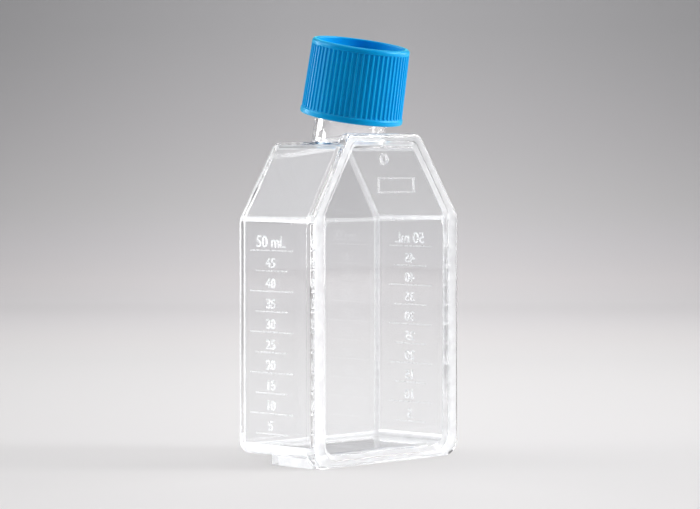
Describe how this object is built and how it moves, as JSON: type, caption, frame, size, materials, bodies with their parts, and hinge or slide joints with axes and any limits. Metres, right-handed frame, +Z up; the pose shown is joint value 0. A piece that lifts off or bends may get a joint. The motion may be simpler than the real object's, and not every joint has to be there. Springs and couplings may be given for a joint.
{
  "type": "cell culture flask",
  "caption": "Clear flat-sided culture flask standing on end, with slanted shoulders, a canted neck, moulded volume lines and a ribbed blue vented screw cap.",
  "frame": {"origin": "on the table plane, in the middle of the width, and of the whole depth with the cap on", "axes": "+Z up along the height; +Y towards the culture wall, -Y towards the roof plate; X across the width"},
  "size_m": [0.049, 0.0288, 0.0982],
  "materials": {
    "clear_polystyrene": "clear, polished mould",
    "blue_cap_plastic": "smooth, slightly glossy",
    "vent_membrane": "matte"
  },
  "bodies": {
    "flask": {"flask_tray": "clear_polystyrene", "roof_plate": "clear_polystyrene"},
    "vent": {"vent_membrane": "vent_membrane"},
    "cap": {"cap_shell": "blue_cap_plastic"}
  },
  "joints": [
    {"name": "cap_lift", "type": "slide", "parent": "flask", "child": "vent", "axis": [0, -0.1908, 0.9816], "range_m": [0, 0.02201]},
    {"name": "cap_turn", "type": "hinge", "parent": "vent", "child": "cap", "pos_m": [0, -0.00242, 0.09186], "axis": [0, -0.1908, 0.9816], "range_deg": [0, 1980]}
  ],
  "couplings": [
    {"joint": "cap_lift", "follows": "cap_turn", "m_per_rad": 0.00063662}
  ]
}
